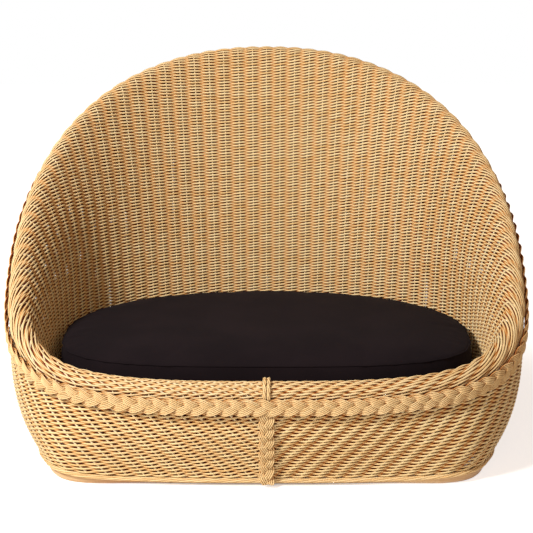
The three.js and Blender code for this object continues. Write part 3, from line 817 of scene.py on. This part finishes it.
def plait(name, line, face, leaf, width, reeds, reed, seed, closed=True):
    """Plaits three bundles of reeds along a line that is given by even, closely spaced points. Leaf
    is the length of one visible leaf, and three of them make a full turn of the plait."""
    bundle, rng = Bundle(), np.random.default_rng(seed)
    points, faces = rejoined(line, closed), rejoined(face, closed)
    run = length_along(points)
    total = run[-1]
    turns = round(total / (3 * leaf)) if closed else total / (3 * leaf)
    t = np.linspace(0, total, int(turns * 24), endpoint=not closed)
    rate = 2 * np.pi * turns / total
    spread = width * BUNDLE_SHARE
    swing = (width - spread) / 2

    def at(values, where):
        where = np.mod(where, total) if closed else where
        return np.stack([np.interp(where, run, values[:, c]) for c in range(3)], axis=1)

    for third in range(3):
        angle = rate * t + 2 * np.pi * third / 3
        y = swing * np.arcsin(SWING_SHARP * np.sin(angle)) / np.arcsin(SWING_SHARP)
        slope = swing * rate * SWING_SHARP * np.cos(angle) / np.arcsin(SWING_SHARP)
        slope = slope / np.sqrt(1 - (SWING_SHARP * np.sin(angle)) ** 2)
        size = np.hypot(1, slope)
        z = -PLAIT_OVER * np.tanh(CROSS_SHARP * np.sin(2 * angle)) / np.tanh(CROSS_SHARP)
        for k in range(reeds):
            q = spread * ((k + 0.5) / reeds - 0.5)
            where = t - q * slope / size
            here, out = at(points, where), unit(at(faces, where))
            ahead, behind = where + NEAR, where - NEAR
            if not closed:
                ahead, behind = np.clip(ahead, NEAR / 2, total), np.clip(behind, 0, total - NEAR / 2)
            across = unit(np.cross(out, unit(at(points, ahead) - at(points, behind))))
            height = PLAIT_OUT + z + PLAIT_CROWN * (1 - (2 * q / spread) ** 2)
            made = here + across * (y + q / size)[:, None] + out * height[:, None]
            tone = slow_tones(rng, t, 0.12, 0.0, 0.4) + rng.uniform(0, 0.3)
            # Painted shade: a bundle is coloured darker where it goes under, and its outermost reeds darker
            # in the creases between leaves.
            painted_shade_depth = 0.45 * z - 0.0030 * abs(2 * q / spread) ** 6
            bundle.strand(made, out, reed, reed, closed=closed, tone=tone, depth=painted_shade_depth, edge=2.4)
    print("plait of", reeds * 3, "reeds,", round(total, 3), "m long,", round(turns, 1), "full turns")
    place(name + "_reeds", bundle, plait_rattan, "plait", name)


lean = np.radians(around(PLANES, TOP_LEAN))
beside_roll = PLANES["hoop_out"] + ROLL_RADIUS + 0.0011
plait_line = in_space(PLANES, *hang(PLANES, beside_roll, PLANES["hoop_z"] - 0.0182 * PLANES["stretch"]))
plait_along = directions(plait_line, True)
plait_face = np.stack([PLANES["nx"] * np.cos(lean), PLANES["ny"] * np.cos(lean), -np.sin(lean)], axis=1)
plait_face = unit(plait_face - np.sum(plait_face * plait_along, axis=1, keepdims=True) * plait_along)
plait("rim_plait", plait_line, plait_face, leaf=0.0315, width=0.0395, reeds=5, reed=0.00152, seed=41)

# %% [markdown]
# The short plait covers the upright join of the skirt. It starts under the long one, follows the
# skirt down, and then hangs straight to just above the floor.

# %% Front plait
front = columns(station(np.array([0.0])))
face_out, face_z = [v[0] for v in skirt_slice(front, np.linspace(0, 1, 400))]
hang_z = np.linspace(float(front["hoop_z"][0, 0]) - 0.0314, 0.009, 120)
hang_out = np.interp(np.maximum(hang_z, 0.038), face_z, face_out) + 0.0006
front_line = np.stack([np.zeros(120), WIDEST_Y - SEAT_FRONT - hang_out, hang_z], axis=1)
forward = np.tile([0.0, -1.0, 0.0], (120, 1))
plait("front_plait", front_line, forward, leaf=0.027, width=0.0345, reeds=4, reed=0.00162, seed=42,
      closed=False)

# %% [markdown]
# Two twisted strands cover the inner skin's join. They come up from the seat, go over the roll and
# end under the long plait. A third kind of twist, slow and with more plies, finishes the skirt's foot.

# %% Twisted strands
SEAM_RADIUS, SEAM_PLY, BORDER_RADIUS, BORDER_PLY = 0.0040, 0.00184, 0.0052, 0.001872
OUTWARD = np.stack([PLANES["nx"], PLANES["ny"], np.zeros(ROUND)], axis=1)


def twist(name, line, face, radius, ply, plies, pitch, seed, closed=False):
    """Round plies that turn about a line: each is offset by cos and sin of its length over the pitch."""
    bundle, rng = Bundle(), np.random.default_rng(seed)
    run = length_along(rejoined(line, closed))
    turns = round(run[-1] / pitch) if closed else run[-1] / pitch
    along = directions(line, closed)
    across = unit(np.cross(face, along))
    out = np.cross(along, across)
    for k in range(plies):
        a = 2 * np.pi * (turns * run[: len(line)] / run[-1] + k / plies)
        made = line + (radius - ply) * (np.cos(a)[:, None] * out + np.sin(a)[:, None] * across)
        bundle.strand(made, out, ply, ply, sides=6, closed=closed, tone=rng.uniform(0, 0.7), depth=0.004)
    place(name + "_plies", bundle, plait_rattan, "plait", name)


wall = np.vstack(wall_slice(front, np.linspace(0.28, 1, 60)))
roll = np.vstack(roll_point(front, np.linspace(ROLL_START[0], 178, 60)[1:]))
tail = roll[:, -1:] - np.outer([0, 1], np.linspace(0.001, 0.009, 9))
seam_side = np.hstack([wall, roll, tail]).T
seam_along = directions(seam_side, False)
seam_out, seam_z = (seam_side + (SEAM_RADIUS + 0.0004) * seam_along[:, ::-1] * [-1, 1]).T
seam_face = np.stack([np.zeros(len(seam_z)), seam_along[:, 1], seam_along[:, 0]], axis=1)
for name, x, seed in (("seam_strand_left", -0.0042, 51), ("seam_strand_right", 0.0042, 52)):
    line = np.stack([np.full(len(seam_z), x), WIDEST_Y - SEAT_FRONT - seam_out, seam_z], axis=1)
    twist(name, line, seam_face, SEAM_RADIUS, SEAM_PLY, plies=3, pitch=0.05, seed=seed)
border = in_space(PLANES, PLANES["base_out"] - 0.001, PLANES["foot_z"] - 0.0054)[::2]
twist("skirt_border", border, OUTWARD[::2], BORDER_RADIUS, BORDER_PLY, plies=5, pitch=0.16, seed=53,
      closed=True)

# %% [markdown]
# ## The frame of poles
# The frame is of thick peeled rattan: smooth and pale, with a node every foot or so, which is a
# faint swelling with a darker ring. Most of it is hidden between the skins, but the base ring shows
# under the skirt at the front corners. Each pole is one strand whose radius swells at the nodes.

# %% Pole finish
pole_material, tree = fresh_material("peeled pole")
rod = stored(tree, "rod").outputs["Vector"]
grain = noise(tree, rod, (7, 260, 260), Detail=4.0, Roughness=0.55)
cloud = noise(tree, rod, (3.5, 12, 12), Detail=2.0)
streaky = stretch_values(tree, grain, 0.3, 0.7)
cloudy = stretch_values(tree, cloud, 0.48, 0.75, 0.0, 0.75)
peeled = blend_colours(tree, streaky, paint(244, 212, 166), paint(230, 190, 138))
peeled = blend_colours(tree, cloudy, peeled, paint(178, 118, 66))
peeled = blend_colours(tree, stored(tree, "tone").outputs["Fac"], peeled, paint(128, 78, 40))
finished(tree, {
    "Base Color": peeled,
    "Roughness": stretch_values(tree, grain, 0.3, 0.7, 0.38, 0.52),
    "Normal": shade(tree, "Bump", {"Height": grain, "Strength": 0.25, "Distance": 0.0006}).outputs[0],
})
# How far in the middles of the base ring and the seat ring lie, and how high.
BASE_IN, BASE_Z, SEAT_IN, SEAT_RING_Z = 0.0204, 0.0125, 0.0124, 0.1396
BASE_POLE, SEAT_POLE, HOOP_POLE, UPRIGHT, POST = 0.028, 0.024, 0.030, 0.018, 0.022  # diameters


def pole(name, line, face, diameter, closed=False, flat=False):
    """A rattan pole: its radius swells as a narrow bell at each node, and a ring of tone marks it."""
    run = length_along(rejoined(line, closed))
    total, run = run[-1], run[: len(line)]
    marks = [total * 0.55] if total < 0.3 else np.arange(0.06 + 0.1 * pole_rng.uniform(), total, 0.27)
    near = np.abs(run[:, None] - marks).min(axis=1)
    radius = diameter / 2 * (1 + 0.035 * np.exp(-((near / 0.006) ** 2)))
    ring = 0.55 * np.exp(-((near / 0.0022) ** 2))
    bundle = Bundle()
    bundle.strand(line, face, radius, radius, sides=20, closed=closed, tone=ring, depth=0.0)
    if flat:
        bundle.points[0][:, 2] = np.maximum(bundle.points[0][:, 2], 0.0)
    place(name + "_pole", bundle, pole_material, "pole", name)


pole_rng = np.random.default_rng(61)
base_line = in_space(PLANES, PLANES["base_out"] - BASE_IN, BASE_Z)
hoop_line = in_space(PLANES, PLANES["hoop_out"], PLANES["hoop_z"])
pole("base_ring", base_line[::3], OUTWARD[::3], BASE_POLE, closed=True, flat=True)
pole("seat_ring", in_space(PLANES, -SEAT_IN, SEAT_RING_Z)[::4], OUTWARD[::4], SEAT_POLE, closed=True)
pole("rim_hoop", hoop_line[::4], OUTWARD[::4], HOOP_POLE, closed=True)

# %% [markdown]
# Uprights stand on the base ring, follow the inside of the skirt and meet the hoop from below. Short
# posts carry the seat ring, and four poles cross it under the woven seat.

# %% Uprights, posts and seat poles
def even_line(points, step):
    """The same line with points at even steps of about the given length."""
    run = length_along(points)
    want = np.linspace(0, run[-1], max(int(run[-1] / step), 4))
    return np.stack([np.interp(want, run, points[:, c]) for c in range(3)], axis=1)


STAKE_ROOM = 0.009  # between the skirt and an upright, for the skirt's stakes
for k in range(10):
    s = station(GIRTH * (2 * k + 1) / 20)
    line = np.stack(skirt_slice(s, np.linspace(0.12, 1, 40)), axis=1)
    tangent = directions(line, False)
    out, z = (line + (SKIN + STAKE_ROOM + UPRIGHT / 2) * tangent[:, ::-1] * [-1, 1]).T
    out, z = np.append(s["base_out"] - BASE_IN, out), np.append(BASE_Z, z)
    below = z < s["hoop_z"] - 0.0125 * s["stretch"]
    line = even_line(in_space(s, out[below], z[below]), 0.008)[1:]
    pole(f"upright_{k + 1}", line, np.array([-s["ny"], s["nx"], 0.0]), UPRIGHT)
    s = station(GIRTH * k / 10)
    foot = in_space(s, s["base_out"] - BASE_IN, BASE_Z + 0.0125)
    head = in_space(s, -SEAT_IN, SEAT_RING_Z - 0.0115)
    line = even_line(np.stack([foot, head]), 0.006)
    pole(f"seat_post_{k + 1}", line, np.array([-s["ny"], s["nx"], 0.0]), POST)
for k in range(4):
    x = (k - 1.5) * 0.19
    ends = np.array([[x, WIDEST_Y + y, SEAT_RING_Z + 0.001] for y in seat_ends(x, 0.0265)])
    pole(f"seat_pole_{k + 1}", even_line(ends, 0.008), UPWARD, POST)
print("ten uprights, ten posts and four seat poles stand in the frame")

# %% [markdown]
# ## The cushion
# The cushion is a boxed one: a top and a bottom panel joined by a strip round the side, in plain
# black cloth over foam. Moving points by a formula would look too even. So we start from a slightly
# small closed form with a flat underside and a crowned top, and blow it up as cloth.

# %% Cushion form
CUSHION_LOW, CUSHION_SIDE, CUSHION_CROWN = 0.1604, 0.096, 0.024
CUSHION = 0.460, 0.264, 0.355  # half its width, and its reach to the front and to the back


def closed_form(rings, edge):
    """Each ring is a share of the outline at a height. They go from the middle of the underside to
    the middle of the top, and a fan of triangles closes either end."""
    count, rows = len(edge), len(rings)
    share, z = rings[:, :1], CUSHION_LOW + rings[:, 1:]
    ring = np.broadcast_arrays(share * edge[:, 0], share * edge[:, 1] + WIDEST_Y, z)
    middles = [[0, WIDEST_Y, z[0, 0]], [0, WIDEST_Y, z[-1, 0]]]
    points = np.vstack([np.stack(ring, axis=-1).reshape(-1, 3), middles])
    i, k = np.arange(rows - 1)[:, None], np.arange(count)
    a, b = i * count + k, i * count + (k + 1) % count
    quads = np.stack([a, b, b + count, a + count], axis=-1).reshape(-1, 4)
    pairs, last = list(zip(range(count), [*range(1, count), 0])), (rows - 1) * count
    bottom = [(rows * count, after, before) for before, after in pairs]
    top = [(rows * count + 1, last + before, last + after) for before, after in pairs]
    made = bpy.data.meshes.new("cushion form")
    made.from_pydata(points.tolist(), [], quads.tolist() + bottom + top)
    return made


edge_run = length_along(np.stack(superellipse(TURNS, *CUSHION)[:2], axis=1))
edge_turn = np.interp(np.arange(160) * edge_run[-1] / 160, edge_run, TURNS)
cushion_edge = np.stack(superellipse(edge_turn, *CUSHION)[:2], axis=1)
up, inward = np.linspace(0, 1, 9)[1:], np.linspace(0.96, 0.06, 14)
cushion_rings = np.vstack([
    np.stack([np.linspace(0.08, 0.96, 10), np.zeros(10)], axis=1),
    [[0.978, 0.002]],
    np.stack([0.985 + 0.010 * np.sin(np.pi * up) - 0.004 * up, CUSHION_SIDE * up], axis=1),
    np.stack([inward, CUSHION_SIDE + CUSHION_CROWN * (1 - (inward / 0.99) ** 3.2)], axis=1),
])
cushion_rings[:, 1] = cushion_rings[:, 1] * 0.985 + 0.0006
form = closed_form(cushion_rings, cushion_edge)
cushion = new_object("cushion_cover", form)
print("cushion form:", len(form.vertices), "points")

# %% [markdown]
# The cloth is blown up for twenty frames without gravity. What each point has moved, m, is kept to
# c tanh(m / c), so that no point goes further than the cap c. The welt follows the moved cloth.

# %% The cushion as cloth
def of_points(mesh, what="co"):
    """What every point of a mesh has, its place or its normal, as rows of x, y, z."""
    flat = np.empty(len(mesh.vertices) * 3)
    mesh.vertices.foreach_get(what, flat)
    return flat.reshape(-1, 3)


def nearest_in(points, line):
    """For each point of a line, the number of the nearest one of many points."""
    return np.array([np.argmin(((points - p) ** 2).sum(axis=1)) for p in line])


def baked(piece):
    """The mesh of a piece with its modifiers, as a new mesh."""
    return bpy.data.meshes.new_from_object(piece.evaluated_get(bpy.context.evaluated_depsgraph_get()))


def blow_up(piece, voxel, pressure, cap):
    """Remeshes a piece evenly, blows it up as cloth and keeps its moves within the cap."""
    even = piece.modifiers.new("even", "REMESH")
    even.mode, even.voxel_size = "VOXEL", voxel
    piece.data = baked(piece)
    piece.modifiers.clear()
    before = of_points(piece.data)
    cloth = piece.modifiers.new("cloth", "CLOTH")
    cloth.settings.use_pressure = True
    cloth.settings.uniform_pressure_force = pressure
    cloth.settings.effector_weights.gravity = 0.0
    for frame in range(1, 21):
        bpy.context.scene.frame_set(frame)
    blown = baked(piece)
    piece.modifiers.clear()
    bpy.context.scene.frame_set(1)
    move = of_points(blown) - before
    far = np.linalg.norm(move, axis=1, keepdims=True)
    move = move * cap * np.tanh(far / cap) / np.maximum(far, 1e-9)
    piece.data = blown
    blown.vertices.foreach_set("co", (before + move).ravel())
    print("cloth:", len(before), "points, moved up to", round(far.max() * 1000, 1), "mm before the cap")
    return before, move


def laid_on(line, mesh):
    """Moves points onto a surface: p - n (n . (p - v)), with v and n of the vertex nearest to p."""
    points = of_points(mesh)
    nearest = nearest_in(points, line)
    normal = of_points(mesh, "normal")[nearest]
    return line - normal * np.sum(normal * (line - points[nearest]), axis=1, keepdims=True)


SEAM_SHARE = 0.988  # the welt lies a little inside the outline, at the top edge of the side
seam_z = np.full(len(cushion_edge), CUSHION_LOW + CUSHION_SIDE * 0.985)
seam_line = np.column_stack([cushion_edge * SEAM_SHARE + [0, WIDEST_Y], seam_z])
start, moved = blow_up(cushion, voxel=0.008, pressure=4.0, cap=0.006)
moved = moved[nearest_in(start, seam_line)]
seam_line = seam_line + sum(np.roll(moved, step, axis=0) for step in range(-5, 6)) / 11
seam_line = laid_on(seam_line, cushion.data)
finer = cushion.modifiers.new("finer", "SUBSURF")
finer.levels = finer.render_levels = 1
cushion.data.shade_smooth()

# %% Cushion cloth
cloth_black, tree = fresh_material("black cloth")
coordinates = shade(tree, "TexCoord").outputs["Object"]
weft = noise(tree, coordinates, scale=900.0, Detail=2.0)
broad = noise(tree, coordinates, scale=7.0, Detail=3.0)
worn = stretch_values(tree, broad, 0.35, 0.7)
dyed = blend_colours(tree, worn, paint(22, 15, 18), paint(29, 21, 24))
dyed = blend_colours(tree, stretch_values(tree, weft, 0.35, 0.65, 0.0, 0.35), dyed, paint(30, 24, 28))
threads = shade(tree, "Bump", {"Height": weft, "Strength": 0.4, "Distance": 0.0006}).outputs[0]
finished(tree, {"Base Color": dyed, "Roughness": 0.95, "Normal": threads, "Specular IOR Level": 0.1})
take_part(cushion, cloth_black, "seat_cushion", "cushion")
outward = np.column_stack([seam_line[:, :2] - [0, WIDEST_Y], np.zeros(len(seam_line))])
seam_face = unit(outward + [0, 0, 0.25])
welt = Bundle()
welt.strand(seam_line, seam_face, 0.0022, 0.0016, sides=8, closed=True)
place("cushion_seam", welt, cloth_black, "cushion", "seat_cushion", "cushion")
print("cushion in black cloth")
